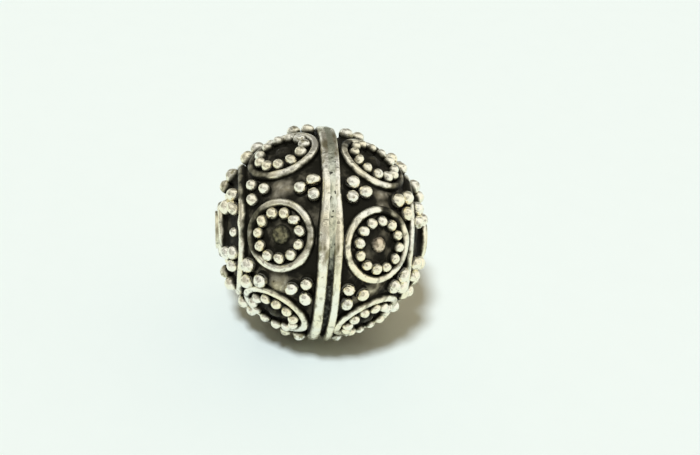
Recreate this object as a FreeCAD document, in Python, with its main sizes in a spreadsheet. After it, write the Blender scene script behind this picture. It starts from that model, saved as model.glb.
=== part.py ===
import FreeCAD, Part
import Sketcher
import math
import os

# Hollow round bead of granulated silver, bore along X, seam band round the middle.
# Lengths are millimetres. The origin is the centre of the bead and +Z is up.
SIZES = {
    # Two domed half shells with flat rims that meet at the middle plane.
    "shell_dia": 12.7,
    "shell_wall": 0.5,
    # Every wire and granule is filed to sit this deep on the round shell.
    "seat_depth": 0.05,
    # A pair of heavy wires hides the seam, with solder run in between them.
    "rim_wire_dia": 0.71,
    "seam_gap": 0.14,
    "solder_depth": 0.1,
    # Thinner wires edge the shoulders, the medallions and the bore.
    "shoulder_wire_dia": 0.52,
    "medallion_wire_dia": 0.5,
    "collar_wire_dia": 0.56,
    # Clear space between a wire and what stands next to it.
    "wire_gap": 0.03,
    # Clear space round the granules of a medallion's ring.
    "ring_gap": 0.07,
    "ring_pitch_gap": 0.03,
    # Low dome in the middle of each medallion, narrower on the right half.
    "left_boss_dia": 1.18,
    "right_boss_dia": 1.06,
    "boss_height": 0.3,
    # Granules in threes between the medallions, at the seam, the shoulder and the bore.
    "rim_granule_dia": 0.85,
    "rim_granule_gap": 0.12,
    "shoulder_granule_dia": 0.86,
    "shoulder_granule_gap": 0.11,
    "polar_granule_dia": 0.9,
    "polar_granule_gap": 0.06,
    # Tube through the bead for the cord.
    "bore_dia": 2.0,
    "tube_wall": 0.2,
    "tube_play": 0.02,
    "tube_proud": 0.15,
    "tube_bevel": 0.08,
}

# Angles in degrees. A turn is taken round the bore axis.
ANGLES = {
    "half_twist": 1.7,
    "solder_start": 67,
    "solder_arc": 180,
    "flare_angle": 45,
    "left_ring_phase": 12.6,
    "right_ring_phase": 24.9,
    "ring_phase_step": 9,
}

# Granules in each ring. They fill it, so they are smaller where there are more of them.
COUNTS = {"left_ring_count": 11, "right_ring_count": 12}

# Where the shoulder wire stands between the collar and the seam wire, and the part of its
# room that a medallion of each half takes.
SHARES = {
    "shoulder_share": 0.3256,
    "left_medallion_share": 0.915,
    "right_medallion_share": 0.945,
}

# The side of the seam that each half lies on, along the bore.
HALVES = {"left": -1, "right": 1}
# Medallions round the bead as it rests, from underneath, up the front and over the top.
PLACES = ("under", "front_low", "front_high", "top", "back_high", "back_low")
FACING = PLACES.index("front_high")

doc = FreeCAD.newDocument("granulated_bead")
sheet = doc.addObject("Spreadsheet::Sheet", "Sizes")
driving = {**SIZES, **ANGLES, **COUNTS, **SHARES, "medallions": len(PLACES)}
for row, (alias, value) in enumerate(driving.items(), start=1):
    sheet.set(f"A{row}", alias)
    sheet.set(f"B{row}", str(value))
    sheet.setAlias(f"B{row}", alias)
doc.recompute()

layout = doc.addObject("App::VarSet", "Layout")


def derive(name, expression, kind="App::PropertyFloat"):
    """Add a worked-out value to the layout and return how expressions name it."""
    layout.addProperty(kind, name, "Layout", "")
    layout.setExpression(name, expression)
    return f"Layout.{name}"


def derive_angle(name, expression):
    return derive(name, expression, "App::PropertyAngle")


def apart(reach_a, reach_b, distance):
    """Angle at the bead's centre between two centres that lie a distance apart."""
    return f"acos(({reach_a}^2 + {reach_b}^2 - ({distance})^2) / (2 * {reach_a} * {reach_b}))"


def beside(wire, item, gap, home="Sizes"):
    """Angle between a wire and what stands beside it on the shell with a gap."""
    distance = f"(Sizes.{wire}_dia + {home}.{item}_dia) / 2 + {gap}"
    return apart(f"Layout.{wire}_reach", f"Layout.{item}_reach", distance)


def arc_between(tilt_a, tilt_b, turn):
    """Angle between two directions given by their tilts and the turn between them."""
    return f"acos(cos({tilt_a}) * cos({tilt_b}) + sin({tilt_a}) * sin({tilt_b}) * cos({turn}))"


def sine_rule(length, radius):
    return f"asin(({length}) / ({radius}))"


# Distance from the bead's centre to the centre of each wire and granule.
derive("shell", "Sizes.shell_dia / 2")
SEATED = (
    "rim_wire", "shoulder_wire", "medallion_wire", "collar_wire",
    "rim_granule", "shoulder_granule", "polar_granule",
)
for item in SEATED:
    derive(f"{item}_reach", f"Layout.shell + Sizes.{item}_dia / 2 - Sizes.seat_depth")

# Tilts are measured from the end of the bore, 0 there and 90 degrees at the seam.
derive("tube_radius", "Sizes.bore_dia / 2 + Sizes.tube_wall")
derive_angle("rim_wire_tilt", "acos((Sizes.rim_wire_dia + Sizes.seam_gap) / 2 / Layout.rim_wire_reach)")
derive("collar_radius", "Layout.tube_radius + Sizes.tube_play + Sizes.collar_wire_dia / 2")
derive_angle("collar_wire_tilt", sine_rule("Layout.collar_radius", "Layout.collar_wire_reach"))


def derive_cluster(name, pair_tilt, tip_side):
    """Three granules in a triangle: a pair beside a wire and a tip that points away."""
    reach = f"Layout.{name}_granule_reach"
    side = derive(f"{name}_side", f"Sizes.{name}_granule_dia + Sizes.{name}_granule_gap")
    pair = derive_angle(f"{name}_pair_tilt", pair_tilt)
    depth = f"2 * {sine_rule(f'{side} * sqrt(3) / 4', reach)}"
    derive_angle(f"{name}_tip_tilt", f"{pair} + {tip_side} * {depth}")
    derive_angle(f"{name}_pair_turn", sine_rule(f"{side} / 2", f"{reach} * sin({pair})"))


shoulder_way = "Sizes.shoulder_share * (Layout.rim_wire_tilt - Layout.collar_wire_tilt)"
derive_angle("shoulder_wire_tilt", f"Layout.collar_wire_tilt + {shoulder_way}")
polar_clear = beside("shoulder_wire", "polar_granule", "Sizes.wire_gap")
derive_cluster("polar", f"Layout.shoulder_wire_tilt - {polar_clear}", -1)
shoulder_clear = beside("shoulder_wire", "shoulder_granule", "Sizes.wire_gap")
derive_cluster("shoulder", f"Layout.shoulder_wire_tilt + {shoulder_clear}", 1)
rim_clear = beside("rim_wire", "rim_granule", "Sizes.wire_gap")
derive_cluster("rim", f"Layout.rim_wire_tilt - {rim_clear}", -1)

# A medallion fills the zone between its two wires, or stops short of its neighbours.
derive_angle("half_pitch", "180 deg / Sizes.medallions")
derive_angle("half_twist", "Sizes.half_twist * 1 deg")
near_edge = beside("shoulder_wire", "medallion_wire", "Sizes.wire_gap")
far_edge = beside("rim_wire", "medallion_wire", "Sizes.wire_gap")
derive_angle("zone_near", f"Layout.shoulder_wire_tilt + {near_edge}")
derive_angle("zone_far", f"Layout.rim_wire_tilt - {far_edge}")
derive_angle("medallion_tilt", "(Layout.zone_near + Layout.zone_far) / 2")


def room_to(granule, tilt, turn):
    """Angle that a medallion can spread before it meets a granule of a cluster."""
    arc = arc_between("Layout.medallion_tilt", tilt, turn)
    return f"{arc} - {beside('medallion_wire', granule, 'Sizes.wire_gap')}"


zone_room = derive_angle("zone_room", "(Layout.zone_far - Layout.zone_near) / 2")
rooms = [zone_room]
for name in ("rim", "shoulder"):
    pair_turn = f"Layout.half_pitch - Layout.{name}_pair_turn"
    pair_room = room_to(f"{name}_granule", f"Layout.{name}_pair_tilt", pair_turn)
    tip_room = room_to(f"{name}_granule", f"Layout.{name}_tip_tilt", "Layout.half_pitch")
    rooms.append(derive_angle(f"{name}_pair_room", pair_room))
    rooms.append(derive_angle(f"{name}_tip_room", tip_room))
derive_angle("medallion_room", f"min({'; '.join(rooms)})")

# A medallion's wire, the granules that fill it, and the dome in the middle.
for half in HALVES:
    edge = derive_angle(f"{half}_edge_tilt", f"Sizes.{half}_medallion_share * Layout.medallion_room")
    free = f"Layout.medallion_wire_reach * sin({edge}) - Sizes.medallion_wire_dia / 2"
    free = derive(f"{half}_ring_room", f"{free} - Sizes.ring_gap")
    granule = f"{half}_ring_granule"
    step = f"sin(180 deg / Sizes.{half}_ring_count)"
    filling = f"(2 * {free} * {step} - Sizes.ring_pitch_gap) / (1 + {step})"
    dia = derive(f"{granule}_dia", filling)
    reach = derive(f"{granule}_reach", f"Layout.shell + {dia} / 2 - Sizes.seat_depth")
    ring_clear = beside("medallion_wire", granule, "Sizes.ring_gap", "Layout")
    derive_angle(f"{half}_ring_tilt", f"{edge} - {ring_clear}")
    radius = derive(f"{half}_boss_radius", f"Sizes.{half}_boss_dia / 2")
    rise = f"(Sizes.boss_height + Layout.shell - sqrt(Layout.shell^2 - {radius}^2))"
    dome = derive(f"{half}_boss_dome", f"({radius}^2 + {rise}^2) / (2 * {rise})")
    derive(f"{half}_boss_reach", f"Layout.shell + Sizes.boss_height - {dome}")

# The seam wires' centres, and the two ends of the tube.
derive("rim_wire_out", "Layout.rim_wire_reach * sin(Layout.rim_wire_tilt)")
derive("rim_wire_side", "(Sizes.rim_wire_dia + Sizes.seam_gap) / 2")
derive("solder_out", "Layout.rim_wire_out + Sizes.rim_wire_dia / 2 - Sizes.solder_depth")
derive("collar_end", "Layout.collar_wire_reach * cos(Layout.collar_wire_tilt) + Sizes.collar_wire_dia / 2")
derive("tube_end", "Layout.collar_end + Sizes.tube_proud")
doc.recompute()


def value_of(expression):
    """Number that an expression of the sheet and the layout gives, angles in degrees."""
    result = layout.evalExpression(expression)
    return result.Value if hasattr(result, "Value") else float(result)


def origin_feature(body, role):
    return next(feature for feature in body.Origin.OriginFeatures if feature.Role == role)


def add_body(label):
    body = doc.addObject("PartDesign::Body", label)
    body.Label = label
    return body


def add_sketch(body, name, role="XZ_Plane"):
    sketch = body.newObject("Sketcher::SketchObject", name)
    sketch.AttachmentSupport = (origin_feature(body, role), [""])
    sketch.MapMode = "FlatFace"
    return sketch


def fix(sketch, kind, *references, size=None):
    """Add a constraint. A size binds it to an expression of the sheet and the layout."""
    if size is None:
        sketch.addConstraint(Sketcher.Constraint(kind, *references))
        return
    value = value_of(size)
    if kind == "Angle":
        value = math.radians(value)
    index = sketch.addConstraint(Sketcher.Constraint(kind, *references, value))
    sketch.renameConstraint(index, f"size_{index}")
    sketch.setExpression(f"Constraints.size_{index}", size)


def tilted(radius, angle):
    """Point of the sketch at a distance from its origin, tilted from its upright axis."""
    return FreeCAD.Vector(radius * math.sin(angle), radius * math.cos(angle), 0)


def arc_through(centre, radius, start, end):
    """Arc about a centre, anticlockwise between the directions of two points."""
    circle = Part.Circle(centre, FreeCAD.Vector(0, 0, 1), radius)
    first = math.atan2(start.y - centre.y, start.x - centre.x)
    last = math.atan2(end.y - centre.y, end.x - centre.x)
    return Part.ArcOfCircle(circle, first, last)


def seat_angle(shell, reach, radius):
    """Half angle of the seat that a round section makes on the shell."""
    return math.acos((shell**2 + reach**2 - radius**2) / (2 * shell * reach))


ORIGIN = FreeCAD.Vector(0, 0, 0)
# How a sketch numbers the points of a line or arc, its own axes and its origin.
START, END, MIDDLE = range(1, 4)
LEVEL, UPRIGHT = range(-1, -3, -1)
CENTRE = (LEVEL, START)


def place_section(sketch, spoke, arc, seat, radius, reach, tilt):
    """Hold a round section on its spoke, and its seat on the shell."""
    fix(sketch, "Coincident", spoke, START, *CENTRE)
    fix(sketch, "Coincident", seat, MIDDLE, *CENTRE)
    fix(sketch, "Coincident", seat, START, arc, START)
    fix(sketch, "Radius", seat, size="Layout.shell")
    fix(sketch, "Radius", arc, size=radius)
    fix(sketch, "Distance", *CENTRE, arc, MIDDLE, size=reach)
    if tilt is None:
        fix(sketch, "PointOnObject", spoke, END, UPRIGHT)
    else:
        fix(sketch, "Angle", spoke, START, UPRIGHT, START, size=tilt)


def add_wire(label, item, tilt):
    """Ring of round wire on the shell, about the body's upright axis."""
    body = add_body(label)
    sketch = add_sketch(body, "section")
    radius_size = f"Sizes.{item}_dia / 2"
    reach_size = f"Layout.{item}_reach"
    shell = value_of("Layout.shell")
    radius = value_of(radius_size)
    reach = value_of(reach_size)
    angle = math.radians(value_of(tilt))
    half = seat_angle(shell, reach, radius)
    centre = tilted(reach, angle)
    low = tilted(shell, angle + half)
    high = tilted(shell, angle - half)
    spoke = sketch.addGeometry(Part.LineSegment(ORIGIN, centre), True)
    arc = sketch.addGeometry(arc_through(centre, radius, low, high), False)
    seat = sketch.addGeometry(arc_through(ORIGIN, shell, low, high), False)
    place_section(sketch, spoke, arc, seat, radius_size, reach_size, tilt)
    fix(sketch, "Coincident", spoke, END, arc, MIDDLE)
    fix(sketch, "Coincident", seat, END, arc, END)
    wire = body.newObject("PartDesign::Revolution", "wire")
    wire.Profile = sketch
    wire.ReferenceAxis = (sketch, ["V_Axis"])
    wire.Angle = 360
    return body


def add_granule(body, name, radius_size, reach_size, tilt=None, turn=None):
    """Ball on the shell, made by revolving half of its section about its own spoke."""
    sketch = add_sketch(body, f"{name}_section")
    if turn is not None:
        lean = FreeCAD.Rotation(FreeCAD.Vector(0, 1, 0), value_of(turn))
        sketch.AttachmentOffset = FreeCAD.Placement(ORIGIN, lean)
        sketch.setExpression("AttachmentOffset.Rotation.Angle", turn)
    shell = value_of("Layout.shell")
    radius = value_of(radius_size)
    reach = value_of(reach_size)
    angle = math.radians(value_of(tilt)) if tilt else 0
    low = tilted(shell, angle + seat_angle(shell, reach, radius))
    foot = tilted(shell, angle)
    top = tilted(reach + radius, angle)
    spoke = sketch.addGeometry(Part.LineSegment(ORIGIN, foot), True)
    core = sketch.addGeometry(Part.LineSegment(foot, top), False)
    arc = sketch.addGeometry(arc_through(tilted(reach, angle), radius, low, top), False)
    seat = sketch.addGeometry(arc_through(ORIGIN, shell, low, foot), False)
    place_section(sketch, spoke, arc, seat, radius_size, reach_size, tilt)
    fix(sketch, "Coincident", spoke, END, core, START)
    fix(sketch, "Coincident", spoke, END, seat, END)
    fix(sketch, "Coincident", core, END, arc, END)
    fix(sketch, "PointOnObject", arc, MIDDLE, core)
    fix(sketch, "PointOnObject", core, END, spoke)
    ball = body.newObject("PartDesign::Revolution", name)
    ball.Profile = sketch
    ball.ReferenceAxis = (sketch, ["Axis0"])
    ball.Angle = 360
    return ball


def repeat_round(body, features, count):
    """Repeat features evenly about the body's upright axis."""
    pattern = body.newObject("PartDesign::PolarPattern", "pattern")
    pattern.Originals = features
    pattern.Axis = (origin_feature(body, "Z_Axis"), [""])
    pattern.Angle = 360
    pattern.setExpression("Occurrences", count)
    body.Tip = pattern


def turn_to(body, *steps):
    """Place a body by turns about the frame's own axes, the last one first."""
    order = {"Z": "{0}; 0; 0", "Y": "0; {0}; 0", "X": "0; 0; {0}"}
    turns = [f"create(<<rotation>>; {order[axis].format(angle)})" for axis, angle in steps]
    spot = "create(<<vector>>; 0; 0; 0)"
    body.setExpression("Placement", f"create(<<placement>>; {spot}; {' * '.join(turns)})")


def to_half(body, half, turn="0"):
    """Lay the body's upright axis along the bore, out of the named half."""
    turn_to(body, ("X", turn), ("Y", str(90 * HALVES[half])))


def add_half_shell(half):
    body = add_body(f"half_shell_{half}")
    sketch = add_sketch(body, "section")
    hole_size = "Layout.tube_radius + Sizes.tube_play"
    outer = value_of("Layout.shell")
    inner = outer - value_of("Sizes.shell_wall")
    hole = value_of(hole_size)
    rim_in = FreeCAD.Vector(inner, 0, 0)
    rim_out = FreeCAD.Vector(outer, 0, 0)
    hole_out = FreeCAD.Vector(hole, math.sqrt(outer**2 - hole**2), 0)
    hole_in = FreeCAD.Vector(hole, math.sqrt(inner**2 - hole**2), 0)
    outside = sketch.addGeometry(arc_through(ORIGIN, outer, rim_out, hole_out), False)
    inside = sketch.addGeometry(arc_through(ORIGIN, inner, rim_in, hole_in), False)
    rim = sketch.addGeometry(Part.LineSegment(rim_in, rim_out), False)
    edge = sketch.addGeometry(Part.LineSegment(hole_out, hole_in), False)
    for arc, size in ((outside, "Layout.shell"), (inside, "Layout.shell - Sizes.shell_wall")):
        fix(sketch, "Coincident", arc, MIDDLE, *CENTRE)
        fix(sketch, "Radius", arc, size=size)
        fix(sketch, "PointOnObject", arc, START, LEVEL)
    fix(sketch, "Coincident", rim, START, inside, START)
    fix(sketch, "Coincident", rim, END, outside, START)
    fix(sketch, "Coincident", edge, START, outside, END)
    fix(sketch, "Coincident", edge, END, inside, END)
    fix(sketch, "Vertical", edge)
    fix(sketch, "DistanceX", *CENTRE, edge, START, size=hole_size)
    shell = body.newObject("PartDesign::Revolution", "shell")
    shell.Profile = sketch
    shell.ReferenceAxis = (sketch, ["V_Axis"])
    shell.Angle = 360
    to_half(body, half)
    return body


def add_core_tube():
    """Tube for the cord, its ends a little proud of the collars and bevelled outside."""
    body = add_body("core_tube")
    sketch = add_sketch(body, "ring", "XY_Plane")
    for size in ("Sizes.bore_dia / 2", "Layout.tube_radius"):
        circle = Part.Circle(ORIGIN, FreeCAD.Vector(0, 0, 1), value_of(size))
        ring = sketch.addGeometry(circle, False)
        fix(sketch, "Coincident", ring, MIDDLE, *CENTRE)
        fix(sketch, "Radius", ring, size=size)
    tube = body.newObject("PartDesign::Pad", "tube")
    tube.Profile = sketch
    tube.Midplane = True
    tube.setExpression("Length", "2 * Layout.tube_end")
    doc.recompute()
    radius = value_of("Layout.tube_radius")
    ends = [
        f"Edge{number}" for number, edge in enumerate(tube.Shape.Edges, start=1)
        if isinstance(edge.Curve, Part.Circle) and abs(edge.Curve.Radius - radius) < radius / 100
    ]
    bevel = body.newObject("PartDesign::Chamfer", "bevel")
    bevel.Base = (tube, ends)
    bevel.setExpression("Size", "Sizes.tube_bevel")
    body.Tip = bevel
    turn_to(body, ("Y", "90"))
    return body


def add_seam_solder():
    """Solder that fills the groove between the two seam wires on part of the band."""
    body = add_body("seam_solder")
    sketch = add_sketch(body, "section")
    gap_size = "Sizes.seam_gap / 2"
    radius = value_of("Sizes.rim_wire_dia / 2")
    out = value_of("Layout.rim_wire_out")
    side = value_of("Layout.rim_wire_side")
    top = value_of("Layout.solder_out")
    gap = value_of(gap_size)
    # The flare leans at its own angle and touches the wire where that angle is square to it.
    slope = math.tan(math.radians(value_of("Sizes.flare_angle")))
    reach = radius * math.hypot(1, slope)
    flare_start = out + (gap - side + reach) / slope
    brim_width = side - reach + (top - out) * slope
    outline = [
        (value_of("Layout.shell"), gap), (flare_start, gap), (top, brim_width),
        (top, -brim_width), (flare_start, -gap), (value_of("Layout.shell"), -gap),
    ]
    corners = [FreeCAD.Vector(x, y, 0) for x, y in outline]
    lines = [
        sketch.addGeometry(Part.LineSegment(first, second), False)
        for first, second in zip(corners, corners[1:] + corners[:1])
    ]
    for first, second in zip(lines, lines[1:] + lines[:1]):
        fix(sketch, "Coincident", first, END, second, START)
    wall, flare, brim, low_flare, low_wall, base = lines
    for upper, lower in ((wall, base), (flare, low_wall), (brim, low_flare)):
        fix(sketch, "Symmetric", upper, START, lower, START, LEVEL)
    wire = sketch.addGeometry(
        Part.Circle(FreeCAD.Vector(out, side, 0), FreeCAD.Vector(0, 0, 1), radius), True)
    fix(sketch, "Radius", wire, size="Sizes.rim_wire_dia / 2")
    fix(sketch, "DistanceX", *CENTRE, wire, MIDDLE, size="Layout.rim_wire_out")
    fix(sketch, "DistanceY", *CENTRE, wire, MIDDLE, size="Layout.rim_wire_side")
    fix(sketch, "Horizontal", wall)
    fix(sketch, "DistanceX", *CENTRE, wall, START, size="Layout.shell")
    fix(sketch, "DistanceY", *CENTRE, wall, START, size=gap_size)
    fix(sketch, "DistanceX", *CENTRE, brim, START, size="Layout.solder_out")
    fix(sketch, "Angle", LEVEL, START, flare, START, size="Sizes.flare_angle * 1 deg")
    fix(sketch, "Tangent", flare, wire)
    run = body.newObject("PartDesign::Revolution", "run")
    run.Profile = sketch
    run.ReferenceAxis = (sketch, ["V_Axis"])
    run.setExpression("Angle", "Sizes.solder_arc")
    turn_to(body, ("X", "Sizes.solder_start"), ("Y", "90"))
    return body


def add_clusters(name, half):
    """Granules in threes, one group in each gap between the medallions of a half."""
    body = add_body(f"{name}_clusters_{half}")
    radius = f"Sizes.{name}_granule_dia / 2"
    reach = f"Layout.{name}_granule_reach"
    tip = add_granule(body, "tip", radius, reach, f"Layout.{name}_tip_tilt")
    pair_tilt = f"Layout.{name}_pair_tilt"
    pair_turn = f"Layout.{name}_pair_turn"
    first = add_granule(body, "first", radius, reach, pair_tilt, pair_turn)
    second = add_granule(body, "second", radius, reach, pair_tilt, f"0 deg - {pair_turn}")
    repeat_round(body, [tip, first, second], "Sizes.medallions")
    to_half(body, half, f"Layout.half_pitch + {HALVES[half]} * Layout.half_twist")
    return body


def place_medallion(body, half, place, phase="0"):
    """Set a medallion's piece at its own turn round the band, counted from underneath."""
    side = HALVES[half]
    turn = f"180 deg + {side} * Layout.half_twist - 2 * Layout.half_pitch * {PLACES.index(place)}"
    tilt = f"{side} * (90 deg - Layout.medallion_tilt)"
    turn_to(body, ("X", turn), ("Y", tilt), ("Z", phase))


def add_medallion(half, place):
    """One medallion: its wire, its ring of granules and the boss in the middle."""
    wire = add_wire(f"medallion_wire_{half}_{place}", "medallion_wire", f"Layout.{half}_edge_tilt")
    place_medallion(wire, half, place)
    granule = f"{half}_ring_granule"
    ring = add_body(f"medallion_granules_{half}_{place}")
    radius = f"Layout.{granule}_dia / 2"
    ball = add_granule(ring, "granule", radius, f"Layout.{granule}_reach", f"Layout.{half}_ring_tilt")
    repeat_round(ring, [ball], f"Sizes.{half}_ring_count")
    steps = PLACES.index(place) - FACING
    phase = f"Sizes.{half}_ring_phase + Sizes.ring_phase_step * {steps}"
    place_medallion(ring, half, place, phase)
    boss = add_body(f"medallion_boss_{half}_{place}")
    dome = add_granule(boss, "dome", f"Layout.{half}_boss_dome", f"Layout.{half}_boss_reach")
    boss.Tip = dome
    place_medallion(boss, half, place)
    return [wire, ring, boss]


def build():
    """Make every sub-part and return the bodies in the order of the assembly."""
    bodies = [add_core_tube(), add_seam_solder()]
    for half in HALVES:
        bodies.append(add_half_shell(half))
        for name in ("rim", "shoulder", "collar"):
            wire = add_wire(f"{name}_wire_{half}", f"{name}_wire", f"Layout.{name}_wire_tilt")
            to_half(wire, half)
            bodies.append(wire)
        for name in ("rim", "shoulder", "polar"):
            bodies.append(add_clusters(name, half))
        for place in PLACES:
            bodies.extend(add_medallion(half, place))
    doc.recompute()
    return bodies


def check_and_write(bodies):
    """Stop on any failed object or bad shape, then write one file for each sub-part."""
    for item in doc.Objects:
        if "Invalid" in item.State or "Error" in item.State:
            raise RuntimeError(f"{item.Label} did not build: {item.State}")
    for body in bodies:
        shape = body.Shape
        if shape.isNull() or not shape.isValid() or not shape.Solids:
            raise RuntimeError(f"{body.Label} has no valid shape")
    os.makedirs("parts", exist_ok=True)
    for body in bodies:
        body.Shape.exportStep(os.path.join("parts", f"{body.Label}.step"))
        print(f"{body.Label}: {len(body.Shape.Solids)} solids, {body.Shape.Volume:.3f} mm3")


bodies = build()
check_and_write(bodies)
whole = Part.makeCompound([body.Shape for body in bodies]).optimalBoundingBox()
print(f"overall {whole.XLength:.3f} x {whole.YLength:.3f} x {whole.ZLength:.3f} mm")
for name in ("medallion_tilt", "medallion_room"):
    print(name, round(value_of(f"Layout.{name}"), 4))
for half in HALVES:
    for name in ("edge_tilt", "ring_granule_dia", "ring_tilt"):
        print(half, name, round(value_of(f"Layout.{half}_{name}"), 4))
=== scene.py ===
# %% [markdown]
# A granulated silver bead. The real one is made by hand: two domed shells are joined round
# the middle, and wires and tiny balls of silver are soldered on. The hollows are blackened,
# then the high parts are rubbed bright. This lesson dresses the measured CAD model with
# meshes that show that handwork, and with finishes that follow the height of the relief.

# %% Load the frame and keep its size
import math
import random

import bmesh
import bpy
from mathutils import Matrix, Vector, noise


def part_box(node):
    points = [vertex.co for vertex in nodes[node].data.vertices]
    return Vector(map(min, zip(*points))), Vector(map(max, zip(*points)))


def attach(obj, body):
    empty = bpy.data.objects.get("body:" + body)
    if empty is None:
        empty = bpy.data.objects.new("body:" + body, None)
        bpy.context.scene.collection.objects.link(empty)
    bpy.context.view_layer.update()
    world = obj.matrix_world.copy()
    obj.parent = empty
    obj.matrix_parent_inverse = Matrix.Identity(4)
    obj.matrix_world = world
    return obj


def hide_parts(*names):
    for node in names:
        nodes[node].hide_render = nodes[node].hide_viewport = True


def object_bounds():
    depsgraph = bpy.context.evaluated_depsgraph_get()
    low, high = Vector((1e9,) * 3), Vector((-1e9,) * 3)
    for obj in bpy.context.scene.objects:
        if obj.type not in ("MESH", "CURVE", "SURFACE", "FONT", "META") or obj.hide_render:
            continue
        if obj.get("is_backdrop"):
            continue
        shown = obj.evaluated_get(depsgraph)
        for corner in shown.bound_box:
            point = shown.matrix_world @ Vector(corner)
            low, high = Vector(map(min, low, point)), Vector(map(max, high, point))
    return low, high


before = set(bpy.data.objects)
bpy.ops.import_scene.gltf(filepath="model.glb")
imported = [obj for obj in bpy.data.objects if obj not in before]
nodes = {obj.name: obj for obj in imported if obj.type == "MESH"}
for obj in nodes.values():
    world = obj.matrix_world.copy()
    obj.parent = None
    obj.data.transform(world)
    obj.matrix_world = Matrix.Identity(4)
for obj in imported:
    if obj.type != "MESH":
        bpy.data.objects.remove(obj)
cad_low, cad_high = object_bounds()
scene = bpy.context.scene
MM = 0.001
HALVES = {"left": -1, "right": 1}
FACING = "front_high"
PLACES = ("under", "front_low", "front_high", "top", "back_high", "back_low")
print("nodes in the frame:", len(nodes))

# %% [markdown]
# Everything stands on a round ball, so one mapping serves for all the pieces. A place is
# given by an axis out of the middle of the bead, a tilt away from that axis, a turn round
# it, and a height above the bare shell. Straight modelling and bending afterwards would
# also work, but this way each foot meets the curved ground exactly.

# %% Mapping from the ball to space
shell_low, shell_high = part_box("half_shell_left")
SHELL = (shell_high[2] - shell_low[2]) / 2
RIGHT_END = Vector((1, 0, 0))

# The left shell is a little fuller at its upper end than the plain ball.
FULLER_WAY = Vector((-0.75, 0.45, 0.5)).normalized()
FULLER_NEAR, FULLER_FAR = math.cos(math.radians(12)), math.cos(math.radians(66))
FULLER_SHARE = 0.25 * MM / SHELL


def axis_frame(axis):
    """Three directions: along the axis, towards the right end of the bore, and across."""
    axis = axis.normalized()
    reference = RIGHT_END if abs(axis.x) < 0.99 else Vector((0, 0, 1))
    level = (reference - axis * reference.dot(axis)).normalized()
    return axis, level, axis.cross(level)


def on_shell(axes, tilt, turn, height):
    """Point at a tilt and a turn about the axis, a height above the shell."""
    axis, level, across = axes
    ring = level * math.cos(turn) + across * math.sin(turn)
    return (axis * math.cos(tilt) + ring * math.sin(tilt)) * (SHELL + height)


print("radius of the bare shell in mm:", round(SHELL / MM, 3))

# %% [markdown]
# The CAD solids say where each ball and wire sits and how thick it is. A ball or a round
# wire looks equally wide to both sides from the middle of the bead, so its half angle and
# its highest point give its radius and the distance of its centre.

# %% Measure the wires and granules of the frame
def loose_parts(node):
    """The separate solids of a node, each as a list of its corner points."""
    mesh = bmesh.new()
    mesh.from_mesh(nodes[node].data)
    bmesh.ops.remove_doubles(mesh, verts=mesh.verts, dist=MM / 1000)
    waiting = set(mesh.verts)
    parts = []
    while waiting:
        search = [waiting.pop()]
        part = []
        while search:
            vertex = search.pop()
            part.append(vertex.co.copy())
            for edge in vertex.link_edges:
                other = edge.other_vert(vertex)
                if other in waiting:
                    waiting.remove(other)
                    search.append(other)
        parts.append(part)
    mesh.free()
    return sorted(parts, key=lambda part: [round(value / MM, 2) for value in sum(part, Vector())])


def round_section(angles, crest):
    """Middle angle and radius of a round section seen under these angles."""
    half = (max(angles) - min(angles)) / 2
    reach = crest / (1 + math.sin(half))
    return (max(angles) + min(angles)) / 2, crest - reach


def measure_wire(node, axis):
    """Tilt of a ring of wire from its axis, its radius and the height of its crest."""
    points = [point for part in loose_parts(node) for point in part]
    crest = max(point.length for point in points)
    tilt, radius = round_section([point.angle(axis) for point in points], crest)
    return tilt, radius, crest - SHELL


def measure_balls(node):
    """Axis, radius and crest height of each granule of a node."""
    balls = []
    for points in loose_parts(node):
        axis = sum((point.normalized() for point in points), Vector()).normalized()
        crest = max(point.length for point in points)
        half = max(point.angle(axis) for point in points)
        _, radius = round_section([-half, half], crest)
        balls.append((axis, radius, crest - SHELL))
    return balls


tilt, radius, _ = measure_wire("rim_wire_left", -RIGHT_END)
print("seam wire: tilt", round(math.degrees(tilt), 2), "radius mm", round(radius / MM, 3))

# %% [markdown]
# Every piece becomes one closed mesh made in code. Rows of points are the form they share:
# each row is joined to the next one, and the last row is joined to the first for a ring, or
# the ends are closed with a cap for a ball or a dome. So a piece only says where its points
# lie, and there is nothing to sculpt.

# %% Mesh helpers
def add_rows(mesh, rows, ring=False):
    """Join closed rows of points with four-sided faces and return their corners."""
    made = [[mesh.verts.new(point) for point in row] for row in rows]
    following = made[1:] + made[:1] if ring else made[1:]
    for first, second in zip(made, following):
        for i, j in zip(range(len(first)), [*range(1, len(first)), 0]):
            mesh.faces.new((first[i], first[j], second[j], second[i]))
    return made


def add_cap(mesh, row, point):
    """Close a row of corners with a fan to one point."""
    tip = mesh.verts.new(point)
    for first, second in zip(row, row[1:] + row[:1]):
        mesh.faces.new((first, second, tip))


def finish_piece(mesh, node, material):
    """Turn a mesh in the making into a smooth piece that stands for its node."""
    name = f"{node}_piece"
    for vertex in mesh.verts:
        fuller = ease(vertex.co.normalized().dot(FULLER_WAY), FULLER_FAR, FULLER_NEAR)
        vertex.co *= 1 + FULLER_SHARE * fuller
    bmesh.ops.recalc_face_normals(mesh, faces=mesh.faces)
    data = bpy.data.meshes.new(name)
    mesh.to_mesh(data)
    mesh.free()
    data.shade_smooth()
    data.materials.append(material)
    piece = bpy.data.objects.new(name, data)
    scene.collection.objects.link(piece)
    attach(piece, "root")
    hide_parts(node)


def finish_ring(rows, node, material):
    """Piece whose last row of points joins the first one."""
    mesh = bmesh.new()
    add_rows(mesh, rows, ring=True)
    finish_piece(mesh, node, material)


def turns(count):
    """Angles of so many equal steps round a circle."""
    return [math.tau * step / count for step in range(count)]


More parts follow.
